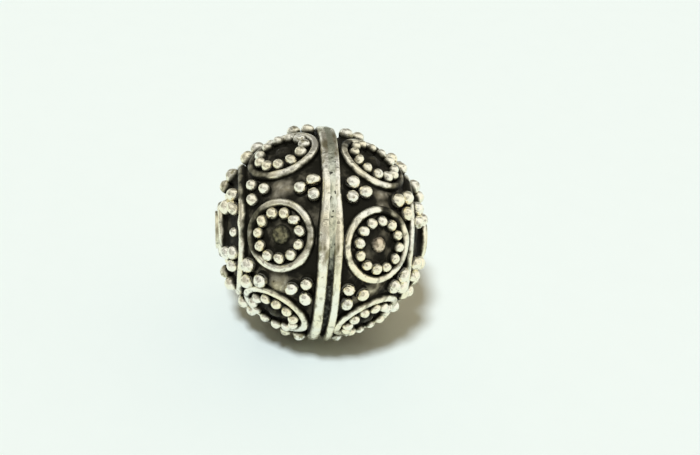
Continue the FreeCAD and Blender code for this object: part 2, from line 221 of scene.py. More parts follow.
def waver(point, per_mm, seed):
    """Smooth random value from -1 to 1 at a place, with so many waves in a millimetre."""
    return noise.noise(point * (per_mm / MM) + Vector((7.3, 3.1, 5.7)) * seed)


def ease(value, low, high):
    """Smooth step from 0 at the low value to 1 at the high one."""
    part = min(max((value - low) / (high - low), 0), 1)
    return part * part * (3 - 2 * part)


print("mesh helpers are ready")

# %% [markdown]
# All the pieces share a few effects: how high a place stands, soft mottling, fine wear, and
# the places that the polishing cloth spared. Each is a shader group, built once and placed
# in every material with its own values. Short helpers wire noise, ranges and sums.

# %% Node helpers
def new_group(name, inputs, outputs):
    """Empty node group with named values. Returns it with its given and its made sockets."""
    group = bpy.data.node_groups.new(name, "ShaderNodeTree")
    for socket, value in inputs.items():
        entry = group.interface.new_socket(socket, in_out="INPUT", socket_type="NodeSocketFloat")
        entry.default_value = value
    for socket in outputs:
        group.interface.new_socket(socket, in_out="OUTPUT", socket_type="NodeSocketFloat")
    given, made = group.nodes.new("NodeGroupInput"), group.nodes.new("NodeGroupOutput")
    return group, given.outputs, made.inputs


def feed(tree, socket, value):
    """Give a socket its value, which is a number or another socket."""
    if isinstance(value, bpy.types.NodeSocket):
        tree.links.new(value, socket)
    else:
        socket.default_value = value


def add_math(tree, operation, first, second=None, third=None):
    """Math node fed with numbers or sockets. Returns its output."""
    node = tree.nodes.new("ShaderNodeMath")
    node.operation = operation
    for socket, value in zip(node.inputs, (first, second, third)):
        if value is not None:
            feed(tree, socket, value)
    return node.outputs[0]


def add_noise(tree, scale, detail=3.0, stretch=None):
    """Noise texture over the bead. The scale is in waves per metre."""
    place = tree.nodes.new("ShaderNodeTexCoord").outputs["Object"]
    if stretch:
        mapping = tree.nodes.new("ShaderNodeMapping")
        feed(tree, mapping.inputs["Scale"], stretch)
        tree.links.new(place, mapping.inputs["Vector"])
        place = mapping.outputs["Vector"]
    texture = tree.nodes.new("ShaderNodeTexNoise")
    texture.inputs["Detail"].default_value = detail
    tree.links.new(place, texture.inputs["Vector"])
    feed(tree, texture.inputs["Scale"], scale)
    return texture.outputs["Fac"]


def add_range(tree, value, low, high):
    """Smooth step of a value between two limits."""
    node = tree.nodes.new("ShaderNodeMapRange")
    node.interpolation_type = "SMOOTHSTEP"
    for name, number in (("Value", value), ("From Min", low), ("From Max", high)):
        feed(tree, node.inputs[name], number)
    return node.outputs["Result"]


def add_facing(tree, place, direction):
    """Cosine of the angle between a place, seen from the origin, and a direction."""
    way = tree.nodes.new("ShaderNodeVectorMath")
    way.operation = "NORMALIZE"
    tree.links.new(place, way.inputs[0])
    facing = tree.nodes.new("ShaderNodeVectorMath")
    facing.operation = "DOT_PRODUCT"
    tree.links.new(way.outputs["Vector"], facing.inputs[0])
    facing.inputs[1].default_value = Vector(direction).normalized()
    return facing.outputs["Value"]


def add_cone(tree, place, direction, inner, outer):
    """Mask of 1 near a direction that fades from an inner to an outer angle, in degrees."""
    limits = math.cos(math.radians(outer)), math.cos(math.radians(inner))
    return add_range(tree, add_facing(tree, place, direction), *limits)


print("node helpers are ready")

# %% [markdown]
# The black in the hollows and the bright crests come from one process: the whole bead is
# blackened, then rubbed, and the cloth reaches only what stands high. So the first effect is
# a mask by the height above the shell. Painting the mask by hand would also work, but the
# height gives it at once on every piece, and its edge is broken up with noise.

# %% Height of the relief
def make_relief_group():
    """Mask from 0 on the ground to 1 on the rubbed crests, limits in millimetres."""
    values = {"Low": 0.1, "High": 0.3, "Ragged": 0.1, "Ragged Size": 0.4}
    tree, given, made = new_group("relief", values, ["Mask"])
    place = tree.nodes.new("ShaderNodeTexCoord").outputs["Object"]
    distance = tree.nodes.new("ShaderNodeVectorMath")
    distance.operation = "LENGTH"
    tree.links.new(place, distance.inputs[0])
    fuller = add_range(tree, add_facing(tree, place, FULLER_WAY), FULLER_FAR, FULLER_NEAR)
    fullness = add_math(tree, "MULTIPLY_ADD", fuller, FULLER_SHARE, 1.0)
    plain = add_math(tree, "DIVIDE", distance.outputs["Value"], fullness)
    height = add_math(tree, "DIVIDE", add_math(tree, "SUBTRACT", plain, SHELL), MM)
    waves = add_math(tree, "DIVIDE", 1 / MM, given["Ragged Size"])
    swing = add_math(tree, "SUBTRACT", add_noise(tree, waves), 0.5)
    swing = add_math(tree, "MULTIPLY", swing, given["Ragged"])
    ragged = add_math(tree, "MULTIPLY_ADD", swing, 4.0, height)
    mask = add_range(tree, ragged, given["Low"], given["High"])
    tree.links.new(mask, made["Mask"])
    return tree


GROUPS = {"relief": make_relief_group()}
print("shader groups:", ", ".join(GROUPS))

# %% [markdown]
# Handling leaves soft patches of tarnish, fine scratches and pits. Real ones could be read
# from a picture, but noise needs no unwrapping: a wide one is cut off softly for the patches,
# and a fine one feeds the bump. On the seam the patches run round the bead.

# %% Mottling and wear
def make_mottle_group():
    """Soft patches from 0 to 1, with a size in millimetres and a share that is covered.

    A streak above 1 makes them that much narrower along the bore, so they run round the bead.
    """
    values = {"Size": 1.0, "Share": 0.5, "Softness": 0.1, "Streak": 1.0}
    tree, given, made = new_group("mottle", values, ["Mask"])
    waves = add_math(tree, "DIVIDE", 1 / MM, given["Size"])
    stretch = tree.nodes.new("ShaderNodeCombineXYZ")
    tree.links.new(given["Streak"], stretch.inputs["X"])
    for axis in "YZ":
        stretch.inputs[axis].default_value = 1.0
    value = add_noise(tree, waves, 4.0, stretch.outputs["Vector"])
    middle = add_math(tree, "SUBTRACT", 1.0, given["Share"])
    spread = add_math(tree, "MULTIPLY_ADD", add_math(tree, "SUBTRACT", middle, 0.5), 0.5, 0.5)
    low = add_math(tree, "SUBTRACT", spread, given["Softness"])
    high = add_math(tree, "ADD", spread, given["Softness"])
    tree.links.new(add_range(tree, value, low, high), made["Mask"])
    return tree


def make_wear_group():
    """Fine scratches and pits of the rubbed metal: a height, and a mask of the pits."""
    tree, given, made = new_group("wear", {"Size": 0.25, "Pits": 0.3}, ["Height", "Pit Mask"])
    waves = add_math(tree, "DIVIDE", 1 / MM, given["Size"])
    grain = add_noise(tree, waves, 5.0)
    scratch = add_noise(tree, add_math(tree, "MULTIPLY", waves, 0.5), 2.0, (0.25, 2.0, 2.0))
    coarse = add_noise(tree, add_math(tree, "MULTIPLY", waves, 0.7), 1.0)
    pits = add_math(tree, "MULTIPLY", add_range(tree, coarse, 0.62, 0.72), given["Pits"])
    surface = add_math(tree, "MULTIPLY_ADD", scratch, 0.5, grain)
    tree.links.new(add_math(tree, "SUBTRACT", surface, pits), made["Height"])
    tree.links.new(pits, made["Pit Mask"])
    return tree


GROUPS["mottle"] = make_mottle_group()
GROUPS["wear"] = make_wear_group()
print("shader groups:", ", ".join(GROUPS))

# %% [markdown]
# Some places are duller than the rest. The top is painted shade, darker because it reflects the
# dim room above, and so is the underside, darkened to deepen the shadow on the paper beneath.
# The feet of the shoulders and a few spots on the front are dull. Round places say where, seen
# from the middle of the bead, and some kinds of pieces have places of their own.

# %% Places that the cloth spared
# Each place is a direction, the angles in degrees from it where it begins and ends to fade,
# and how dull it is. The top is painted shade on all but the thin wires.
# Painted shade: the top is darker, as it reflects the dim room above.
PAINTED_SHADE_TOP = (((0.0, 0.3, 0.95), 12, 46, 0.4),)
SHADE_AND_DULL_PLACES = (
    # Painted shade: the underside is darkened, which deepens the shadow on the paper under the
    # bead.
    ((0.0, 0.0, -1.0), 28, 48, 1.0),
    ((-0.7, 0.25, 0.68), 6, 12, 0.4),
    ((-0.92, 0.27, 0.27), 12, 22, 0.6),
    ((-0.93, -0.05, -0.38), 12, 20, 0.7),
    ((0.9, 0.2, 0.38), 12, 22, 0.4),
    ((0.93, -0.05, -0.38), 12, 20, 0.6),
)
DULL_ON_THIN_WIRES = (
    ((-0.66, -0.62, 0.42), 10, 14, 1.0),
    ((-0.19, -0.83, 0.53), 5, 11, 0.6),
    ((-0.76, -0.06, 0.65), 13, 20, 1.0),
    ((-0.46, -0.57, -0.68), 4, 9, 1.0),
    ((0.59, -0.52, 0.62), 6, 11, 1.0),
    ((0.68, -0.1, 0.72), 11, 17, 1.0),
    ((0.19, 0.06, 0.98), 4, 8, 1.0),
)
DULL_ON_SHELL = (
    ((-0.15, -0.94, 0.29), 5, 11, 1.0),
    ((0.126, -0.707, 0.696), 4, 11, 1.0),
    ((0.318, -0.574, 0.755), 4, 9, 1.0),
)
SHADE_AND_DULL_ON_SEAM = (
    # Painted shade: the top of the seam is darker, as it reflects the dim room above.
    ((0.0, 0.1, 1.0), 10, 20, 1.0),
    ((-0.08, -0.92, 0.38), 1, 8, 0.9),
    ((0.05, -0.9, 0.42), 0, 6, 0.9),
)


def make_shade_and_dull_group(name, places):
    """Mask of the dull places and the painted shade, the greatest where they overlap."""
    tree, _, made = new_group(name, {}, ["Mask"])
    place = tree.nodes.new("ShaderNodeTexCoord").outputs["Object"]
    mask = 0.0
    for direction, near, far, dull in places:
        inside = add_cone(tree, place, direction, near, far)
        mask = add_math(tree, "MAXIMUM", mask, add_math(tree, "MULTIPLY", inside, dull))
    tree.links.new(mask, made["Mask"])
    return tree


# Painted shade and dull places, one mask for each kind of piece.
SHADE_AND_DULL_LISTS = {
    "shade_and_dull": SHADE_AND_DULL_PLACES + PAINTED_SHADE_TOP,
    "shade_and_dull_thin_wires": SHADE_AND_DULL_PLACES + DULL_ON_THIN_WIRES,
    "shade_and_dull_shell": SHADE_AND_DULL_PLACES + PAINTED_SHADE_TOP + DULL_ON_SHELL,
    "shade_and_dull_seam": SHADE_AND_DULL_PLACES + PAINTED_SHADE_TOP + SHADE_AND_DULL_ON_SEAM,
}
for name, places in SHADE_AND_DULL_LISTS.items():
    GROUPS[name] = make_shade_and_dull_group(name, places)
print("shader groups:", ", ".join(GROUPS))

# %% [markdown]
# One recipe makes all the silver. From the ground up it goes from black oxide over a
# yellowish tarnish to the bright metal. The oxide is a dark crust, so the metal share fades
# there too. Separate node trees would say the same thing nine times, so one function takes
# the values of a finish and wires the effects to its shader.

# %% Recipe for the silver
BRIGHT = (1.0, 0.98, 0.86)
CREAM = (1.0, 0.95, 0.81)
TARNISH = (0.34, 0.31, 0.195)
OXIDE = (0.011, 0.010, 0.006)
# Metal share of the crust, and how much more of the dull places and the painted shade the mottling
# covers.
CRUST_METAL = 0.1
SHADE_AND_DULL_MOTTLING = 0.4


def place_group(tree, name, **values):
    """Put one of the shared groups into a material and set its values."""
    node = tree.nodes.new("ShaderNodeGroup")
    node.node_tree = GROUPS[name]
    for socket, value in values.items():
        node.inputs[socket.replace("_", " ").title()].default_value = value
    return node.outputs


def add_mix(tree, mask, first, second):
    """Colour between two colours, which are tuples or sockets, by a mask."""
    node = tree.nodes.new("ShaderNodeMix")
    node.data_type = "RGBA"
    tree.links.new(mask, node.inputs["Factor"])
    colour_sockets = [socket for socket in node.inputs if socket.type == "RGBA"]
    for socket, colour in zip(colour_sockets, (first, second)):
        solid = not isinstance(colour, bpy.types.NodeSocket)
        feed(tree, socket, (*colour, 1) if solid else colour)
    return next(socket for socket in node.outputs if socket.type == "RGBA")


def make_silver(
    name, bright, tarnish, relief, mottle, wear, roughness,
    bump_mm=0.04, shade_and_dull_group="shade_and_dull", shade_and_dull_lift=0.0,
):
    """Blackened and rubbed silver, from the values of its effects.

    In the dull places and the painted shade the rubbed part begins higher up, by the lift in
    millimetres, so that only the crowns stay bright there as a painted highlight.
    """
    material = bpy.data.materials.new(name)
    material.use_nodes = True
    tree = material.node_tree
    inputs = tree.nodes["Principled BSDF"].inputs
    inputs["Specular IOR Level"].default_value = 0.15
    rubbed = place_group(tree, "relief", **relief)["Mask"]
    shade_and_dull = place_group(tree, shade_and_dull_group)["Mask"]
    # Painted highlight and shade: in these places only the highest crowns stay bright, the flanks
    # go dark.
    for limit in ("low", "high"):
        lifted = add_math(tree, "MULTIPLY_ADD", shade_and_dull, shade_and_dull_lift, relief[limit])
        tree.links.new(lifted, rubbed.node.inputs[limit.title()])
    patches = place_group(tree, "mottle", **mottle)["Mask"]
    # More tarnish patches in the dull places and the painted shade, which darkens them.
    share = add_math(tree, "MULTIPLY_ADD", shade_and_dull, SHADE_AND_DULL_MOTTLING, mottle["share"])
    tree.links.new(share, patches.node.inputs["Share"])
    worn = place_group(tree, "wear", **wear)
    warm = place_group(tree, "mottle", size=2.5, share=0.5, softness=0.15)["Mask"]
    tint = tuple(value * cream for value, cream in zip(bright, CREAM))
    rubbed_tone = add_mix(tree, warm, bright, tint)
    crest = add_mix(tree, add_math(tree, "MULTIPLY", rubbed, rubbed), tarnish, rubbed_tone)
    metal = add_mix(tree, patches, crest, tarnish)
    pitted = add_mix(tree, worn["Pit Mask"], metal, OXIDE)
    tree.links.new(add_mix(tree, rubbed, OXIDE, pitted), inputs["Base Color"])
    metallic = add_math(tree, "MULTIPLY_ADD", rubbed, 1 - CRUST_METAL, CRUST_METAL)
    tree.links.new(metallic, inputs["Metallic"])
    smooth, dull = roughness
    blur = add_math(tree, "MULTIPLY_ADD", patches, (dull - smooth) / 2, smooth)
    crust = add_math(tree, "SUBTRACT", 1.0, rubbed)
    blur = add_math(tree, "MULTIPLY_ADD", crust, dull - smooth, blur)
    tree.links.new(blur, inputs["Roughness"])
    bump = tree.nodes.new("ShaderNodeBump")
    bump.inputs["Strength"].default_value = 1.0
    bump.inputs["Distance"].default_value = bump_mm * MM
    tree.links.new(worn["Height"], bump.inputs["Height"])
    tree.links.new(bump.outputs["Normal"], inputs["Normal"])
    return material


print("the recipe needs these groups:", ", ".join(GROUPS))

# %% [markdown]
# Granules and wires have bright, smooth crests, because they stand highest. The seam wires
# were rubbed less deep, and their patches are drawn out along the wire.

# %% Finishes of the granules and wires
granule_finish = make_silver(
    "worn_granules", BRIGHT, TARNISH,
    relief={"low": 0.18, "high": 0.47, "ragged": 0.1, "ragged_size": 0.4},
    mottle={"size": 0.4, "share": 0.12, "softness": 0.1},
    wear={"size": 0.22, "pits": 0.45}, roughness=(0.2, 0.5), shade_and_dull_lift=0.14)
wire_finish = make_silver(
    "worn_wire", BRIGHT, TARNISH,
    relief={"low": 0.2, "high": 0.42, "ragged": 0.1, "ragged_size": 0.6},
    mottle={"size": 0.7, "share": 0.15, "softness": 0.12},
    wear={"size": 0.3, "pits": 0.4}, roughness=(0.22, 0.5),
    shade_and_dull_group="shade_and_dull_thin_wires", shade_and_dull_lift=0.15)
seam_wire_finish = make_silver(
    "worn_seam_wire", BRIGHT, TARNISH,
    relief={"low": 0.3, "high": 0.58, "ragged": 0.1, "ragged_size": 0.5},
    mottle={"size": 0.9, "share": 0.2, "softness": 0.14, "streak": 2.5},
    wear={"size": 0.3, "pits": 0.4}, roughness=(0.22, 0.5),
    shade_and_dull_group="shade_and_dull_seam")
print("three finishes made, the first one is", granule_finish.name)

# %% [markdown]
# The solder is grey and pitted. Of the bosses only the two that face the front were rubbed,
# the left one hardly. The shells carry the black, with dull metal where solder stands up.

# %% Finishes of the solder, bosses, shells and tube
solder_finish = make_silver(
    "seam_solder", (0.82, 0.84, 0.71), (0.40, 0.41, 0.31),
    relief={"low": 0.2, "high": 0.5, "ragged": 0.12, "ragged_size": 0.3},
    mottle={"size": 0.6, "share": 0.4, "softness": 0.14, "streak": 2.0},
    wear={"size": 0.2, "pits": 0.9}, roughness=(0.35, 0.6), bump_mm=0.05,
    shade_and_dull_group="shade_and_dull_seam")


def make_boss_finish(name, bright, tarnish, limits, share, roughness):
    """Finish of a boss, from its colours and how far it was rubbed."""
    low, high = limits
    return make_silver(
        name, bright, tarnish,
        relief={"low": low, "high": high, "ragged": 0.12, "ragged_size": 0.3},
        mottle={"size": 0.35, "share": share, "softness": 0.08},
        wear={"size": 0.15, "pits": 0.6}, roughness=roughness, bump_mm=0.06)


boss_finishes = {
    "black": make_boss_finish(
        "blackened_boss", (0.10, 0.095, 0.065), (0.045, 0.04, 0.028),
        (0.05, 0.35), 0.5, (0.45, 0.65)),
    "left": make_boss_finish(
        "dull_boss", (0.33, 0.32, 0.22), (0.10, 0.095, 0.06), (0.02, 0.32), 0.45, (0.4, 0.65)),
    "right": make_boss_finish(
        "rubbed_boss", (0.80, 0.69, 0.53), (0.36, 0.30, 0.21), (0.0, 0.26), 0.4, (0.35, 0.6)),
}
shell_finish = make_silver(
    "blackened_shell", (0.92, 0.87, 0.73), (0.42, 0.37, 0.25),
    relief={"low": -0.03, "high": 0.24, "ragged": 0.09, "ragged_size": 0.7},
    mottle={"size": 0.5, "share": 0.45, "softness": 0.12},
    wear={"size": 0.3, "pits": 0.6}, roughness=(0.4, 0.6),
    shade_and_dull_group="shade_and_dull_shell", shade_and_dull_lift=0.15)
tube_finish = make_silver(
    "tube_silver", (0.92, 0.91, 0.78), TARNISH,
    relief={"low": -0.05, "high": 0.3, "ragged": 0.2, "ragged_size": 0.6},
    mottle={"size": 0.8, "share": 0.3, "softness": 0.12},
    wear={"size": 0.3, "pits": 0.5}, roughness=(0.3, 0.55), bump_mm=0.03)
finishes = [material.name for material in bpy.data.materials if material.use_nodes]
print("finishes:", ", ".join(finishes))

# %% [markdown]
# The clusters and medallions were set by eye, so some stand a little higher, lower or nearer
# the seam than even spacing would put them. The CAD model is even. Two short lists say how
# the seen ones differ, and a few helpers move the measured balls by that.

# %% Where the clusters and medallions were set
# How a cluster departs from its even place: the degrees by which it was set higher up the
# front and nearer the right end, how far its balls are spread, and their size. Gap 0 lies
# just above the medallions that face the front, and the others follow over the top.
CLUSTER_HABITS = {
    ("rim", "left", 0): (-2.5, 0.7, 1.0, 0.97), ("rim", "left", 5): (-0.5, -0.8, 1.08, 1.0),
    ("shoulder", "left", 0): (1.8, 2.0, 1.06, 0.86),
    ("shoulder", "left", 5): (-2.2, 1.6, 1.25, 1.1),
    ("rim", "right", 0): (0.5, 0.3, 1.0, 0.97), ("rim", "right", 5): (0.5, 1.1, 1.15, 0.97),
    ("shoulder", "right", 0): (1.2, 0.0, 1.12, 1.06),
    ("shoulder", "right", 5): (-1.3, 0.0, 1.0, 1.0),
    ("polar", "left", 0): (3.0, 0.0, 1.0, 1.0), ("polar", "left", 1): (3.0, 0.0, 1.0, 1.0),
}
# How a medallion departs from its even place: the degrees by which it was set nearer the
# right end, how much longer it is along the bore, how much wider its wire is, and the
# degrees by which its granules are turned.
MEDALLION_HABITS = {
    ("left", "top"): (1.6, 1.04, 1.0, 10.0), ("left", "front_low"): (0.5, 1.03, 1.0, 16.0),
    ("right", "top"): (-2.7, 1.0, 1.0, 0.0), ("right", "front_low"): (-2.0, 1.0, 1.0, 0.0),
    ("right", "front_high"): (-0.3, 1.0, 1.045, 0.0),
}


def settled(balls, kind, half):
    """The balls of a node's clusters, each cluster turned, spread and sized its own way."""
    clusters = {}
    for ball in balls:
        elevation = math.degrees(math.atan2(ball[0].z, -ball[0].y))
        clusters.setdefault(round(elevation / 60 - 1) % 6, []).append(ball)
    moved = []
    for gap, cluster in sorted(clusters.items()):
        even = random.Random(gap).uniform(-1, 1), 0.0, 1.0, 1.0
        raised, slid, spread, size = CLUSTER_HABITS.get((kind, half, gap), even)
        middle = sum((axis for axis, _, _ in cluster), Vector()).normalized()
        turn = Matrix.Rotation(math.radians(-raised), 3, "X")
        turn = turn @ Matrix.Rotation(math.radians(slid), 3, middle.cross(RIGHT_END))
        for axis, radius, crest in cluster:
            axis = turn @ (middle + (axis - middle) * spread).normalized()
            moved.append((axis, radius * size, crest + 2 * radius * (size - 1)))
    return moved


def medallion_place(half, place):
    """Even axis of a medallion, the axis it was set at, and its last three habits."""
    even = measure_balls(f"medallion_boss_{half}_{place}")[0][0]
    slid, longer, wider, turned = MEDALLION_HABITS.get((half, place), (0.0, 1.0, 1.0, 0.0))
    slide = Matrix.Rotation(math.radians(slid), 3, even.cross(RIGHT_END))
    return even, slide @ even, longer, wider, math.radians(turned)


def stretched(tilt, turn, longer):
    """Tilt from a medallion's axis at a turn round it, when it is longer along the bore."""
    return tilt * (1 + (longer - 1) * math.cos(turn) ** 2)


def set_in_ring(balls, half, place):
    """The granules of a medallion, moved with it to where it was set."""
    even, axis, longer, _, turned = medallion_place(half, place)
    _, level, across = axis_frame(even)
    moved = []
    for ball, radius, crest in balls:
        turn = math.atan2(ball.dot(across), ball.dot(level)) + turned
        tilt = stretched(ball.angle(even), turn, longer)
        moved.append((on_shell(axis_frame(axis), tilt, turn, 0).normalized(), radius, crest))
    return moved


print("set unevenly:", len(CLUSTER_HABITS), "clusters and", len(MEDALLION_HABITS), "medallions")

# %% [markdown]
# The granules are clippings of silver that were melted into balls on charcoal, so no two
# are quite alike, and each stands in a little foot of solder. Here each one is its own half
# outline revolved about the line from the middle of the bead: a crown rubbed slightly flat,
# a round side and a flaring foot. A seeded random draw varies size, length and place, and
# noise makes it lumpy. Copies of one sphere would be quicker, but would look machined.

# %% Granules
AROUND = 22
CROWN_TO_FOOT = [math.radians(angle) for angle in (9, 19, 30, 42, 54, 66, 78, 90, 102, 114)]
# How deep the feet of granules and bosses reach into the shell.
FOOT_DEPTH = 0.06 * MM
# One ball stands alone, near the left shoulder wire: its axis, radius and crest height.
STRAY_BALL = Vector((-0.858, -0.437, 0.272)), 0.3 * MM, 0.68 * MM


def round_outline(angles, radius, crest, worn):
    """Ways to the side and heights of points on a circle whose crest is worn flat."""
    return [
        (math.sin(angle) * radius, crest - radius * (1 - min(math.cos(angle), 1 - worn)))
        for angle in angles
    ]


def add_granule(mesh, axis, radius, crest, draw):
    """One soldered ball about its axis, its crest at a height above the shell."""
    axes = axis_frame(axis + Vector([draw.gauss(0, 0.0022) for _ in range(3)]))
    size = radius * draw.uniform(0.93, 1.03)
    stretch = max(draw.gauss(0.02, 0.05), -0.06)
    lean = draw.uniform(0, math.tau)
    worn = draw.uniform(0.01, 0.07)
    crest += (size - radius) * 1.5
    outline = round_outline(CROWN_TO_FOOT, size, crest, worn)
    side = outline[-1][0]
    outline += [(side, 0.09 * MM), (side * 1.08, 0.035 * MM)]
    outline += [(size * 1.14, 0.0), (size * 1.16, -FOOT_DEPTH)]
    rows = []
    for out, height in outline:
        row = []
        for turn in turns(AROUND):
            length = 1 + stretch * math.cos(2 * (turn - lean))
            point = on_shell(axes, out * length / (SHELL + height), turn, height)
            lump = waver(point, 1.9, 1) * 0.04 + waver(point, 4.5, 2) * 0.015
            away = (point - axes[0] * (SHELL + crest - size)).normalized()
            row.append(point + away * (lump * MM))
        rows.append(row)
    corners = add_rows(mesh, rows)
    add_cap(mesh, corners[0], on_shell(axes, 0, 0, crest - size * worn))
    add_cap(mesh, corners[-1], on_shell(axes, 0, 0, -FOOT_DEPTH))


def make_granules(node, seed):
    """All the granules of one node as one piece."""
    draw = random.Random(seed)
    kind, _, half, *place = node.split("_")
    mesh = bmesh.new()
    balls = measure_balls(node)
    if kind == "medallion":
        balls = set_in_ring(balls, half, "_".join(place))
    else:
        balls = settled(balls, kind, half)
    for axis, radius, crest in balls:
        add_granule(mesh, axis, radius, crest, draw)
    if node == "polar_clusters_left":
        add_granule(mesh, *STRAY_BALL, draw)
    finish_piece(mesh, node, granule_finish)


seed = 1
for half in HALVES:
    for group in [f"{name}_clusters_{half}" for name in ("rim", "shoulder", "polar")]:
        make_granules(group, seed)
        seed += 1
    for place in PLACES:
        make_granules(f"medallion_granules_{half}_{place}", seed)
        seed += 1
print("granule pieces:", seed - 1)

# %% [markdown]
# The thin wires edge the medallions, the shoulders and the bore. Each is a ring of drawn
# wire with its ends soldered together, so there is one small lump where they meet. Its crest
# is rubbed a little flat, and its foot runs out into the solder. The section is swept round
# the ring in code: a curve with a round bevel could not have the foot or the flat.

# %% Thin wires
WIRE_SECTION = [math.radians(angle) for angle in range(-115, 116, 23)]
WIRE_STEP = 0.15 * MM
# Turns about the wire's axis and sizes of the two joints that stand out.
JOINTS = {
    "shoulder_wire_right": (math.radians(120), 4.0),
    "shoulder_wire_left": (math.radians(-50), 1.5),
}


def wire_section(radius, crest, worn):
    """Points across a wire, as a way to the side and a height, from foot to foot."""
    left = [(-radius * 1.2, -0.05 * MM), (-radius * 1.15, 0.0), (-radius * 0.98, 0.05 * MM)]
    right = [(-side, height) for side, height in reversed(left)]
    return left + round_outline(WIRE_SECTION, radius, crest, worn) + right


def make_wire(node, even, seed, axis=None, longer=1.0, wider=1.0):
    """Ring of wire about an axis, with a slight waver and a lump at its joint.

    It is measured about the even axis and laid about the one where it was set.
    """
    axes = axis_frame(axis or even)
    tilt, radius, crest = measure_wire(node, even)
    joint, swell = JOINTS.get(node, (random.Random(seed).uniform(0, math.tau), 1.0))
    count = round(math.tau * math.sin(tilt) * SHELL / WIRE_STEP)
    rows = []
    for turn in turns(count):
        middle = on_shell(axes, tilt, turn, 0)
        away = math.remainder(turn - joint, math.tau) * math.sin(tilt) * SHELL / (0.35 * MM)
        lump = math.exp(-away * away)
        wide = 1 + 0.08 * waver(middle, 0.6, seed) + 0.16 * swell * lump
        worn = 0.08 + 0.06 * waver(middle, 0.4, seed + 40)
        high = crest + (0.04 * waver(middle, 0.5, seed + 20) + 0.04 * swell * lump) * MM
        sway = 0.035 * MM * waver(middle, 0.35, seed + 60)
        row = []
        for side, height in wire_section(radius, high, worn):
            across = stretched(tilt * wider, turn, longer) + (side * wide + sway) / (SHELL + height)
            point = on_shell(axes, across, turn, height)
            row.append(point * (1 + 0.012 * MM * waver(point, 3.0, seed) / SHELL))
        rows.append(row)
    finish_ring(rows, node, wire_finish)


seed = 101
for half, side in HALVES.items():
    for name in ("shoulder", "collar"):
        make_wire(f"{name}_wire_{half}", Vector((side, 0, 0)), seed)
        seed += 1
    for place in PLACES:
        even, axis, longer, wider, _ = medallion_place(half, place)
        make_wire(f"medallion_wire_{half}_{place}", even, seed, axis, longer, wider)
        seed += 1
print("thin wires:", seed - 101)

# %% [markdown]
# Two heavy wires hide the seam. On the upper part they were squeezed together and the groove
# was filled flush with solder, so they look like one flat band. Lower down they part, and a
# dark groove opens. So each wire is described by where its edges lie at each elevation round
# the band. One value says how far the wires are squeezed together and moves the outer edges,
# and another says how far the seam is filled and moves the inner ones.

# %% Seam wires
solder_points = [point for part in loose_parts("seam_solder") for point in part]
solder_angles = [math.atan2(point.z, -point.y) % math.tau for point in solder_points]
SOLDER_START, SOLDER_END = min(solder_angles), max(solder_angles)
SEAM_EDGES = {"left": ((0.84, 0.65), (0.13, 0.03)), "right": ((0.71, 0.50), (0.15, 0.03))}
# The band leans to the right by this much on the lower front, and to the left at the back.
SEAM_LEAN = 0.12 * MM
LEAN_ELEVATION = math.radians(-20)
BAND_STEP = 0.15 * MM


def closed_part(elevation, rise_start, rise_end):
    """Value that rises from 0 to 1 on the front and falls back to 0 behind, by elevation."""
    # Angles from -1 radian on keep the closed part in one piece.
    elevation = (elevation + 1.0) % math.tau - 1.0
    rising = ease(elevation, rise_start, rise_end)
    return rising * (1 - ease(elevation, SOLDER_END - 0.6, SOLDER_END + 0.1))


def filled(elevation):
    """How far the seam is filled with solder at an elevation."""
    return closed_part(elevation, SOLDER_START - 0.22, SOLDER_START + 0.35)


def squeezed(elevation):
    """How far the seam wires are squeezed together, which starts higher up than the solder."""
    return closed_part(elevation, SOLDER_START + 0.2, SOLDER_START + 0.7)


def on_band(side, elevation, height):
    """Point beside the seam, at an elevation round it and a height above the shell."""
    side += SEAM_LEAN * math.cos(elevation - LEAN_ELEVATION)
    out = math.sqrt((SHELL + height) ** 2 - side ** 2)
    return Vector((side, -out * math.cos(elevation), out * math.sin(elevation)))


def seam_edges(half, elevation):
    """Outer and inner edge of a seam wire, as distances from the seam."""
    closing = squeezed(elevation), filled(elevation)
    edges = zip(SEAM_EDGES[half], closing)
    return [(wide + (narrow - wide) * closed) * MM for (wide, narrow), closed in edges]


def make_seam_wire(half, seed):
    """Heavy wire on one side of the seam."""
    node = f"rim_wire_{half}"
    side = HALVES[half]
    _, radius, crest = measure_wire(node, Vector((side, 0, 0)))
    count = round(math.tau * SHELL / BAND_STEP)
    rows = []
    for turn in turns(count):
        outer, inner = seam_edges(half, turn)
        middle = on_band(side * (outer + inner) / 2, turn, 0)
        sway = 0.03 * MM * waver(middle, 0.4, seed)
        thick = (outer - inner) / 2 * (1 + 0.05 * waver(middle, 0.7, seed + 3))
        high = crest + 0.025 * MM * waver(middle, 0.5, seed + 5)
        worn = 0.07 + 0.1 * filled(turn) + 0.05 * waver(middle, 0.6, seed + 9)
        row = []
        for across, height in wire_section(radius, high, worn):
            place = side * ((outer + inner) / 2 + across / radius * thick + sway)
            point = on_band(place, turn, height)
            row.append(point * (1 + 0.014 * MM * waver(point, 2.5, seed) / SHELL))
        rows.append(row)
    finish_ring(rows, node, seam_wire_finish)


for seed, half in enumerate(HALVES, start=201):
    make_seam_wire(half, seed)
ends = [round(math.degrees(angle)) for angle in (SOLDER_START, SOLDER_END)]
print("the solder starts and ends at these elevations, in degrees:", ends)

# %% [markdown]
# The solder between the seam wires was filed flush, and it is duller than silver, uneven and
# pitted. It is a strip across the groove that reaches under the crests of both wires. Where
# the filling ends it sinks into the groove, so no hard edge shows there.

# %% Seam solder
# How far the solder runs on, low in the groove, below the filled part.
LOW_RUN = math.radians(50)
SOLDER_STEP = 0.1 * MM
SOLDER_HALF_WIDTH = 0.3 * MM


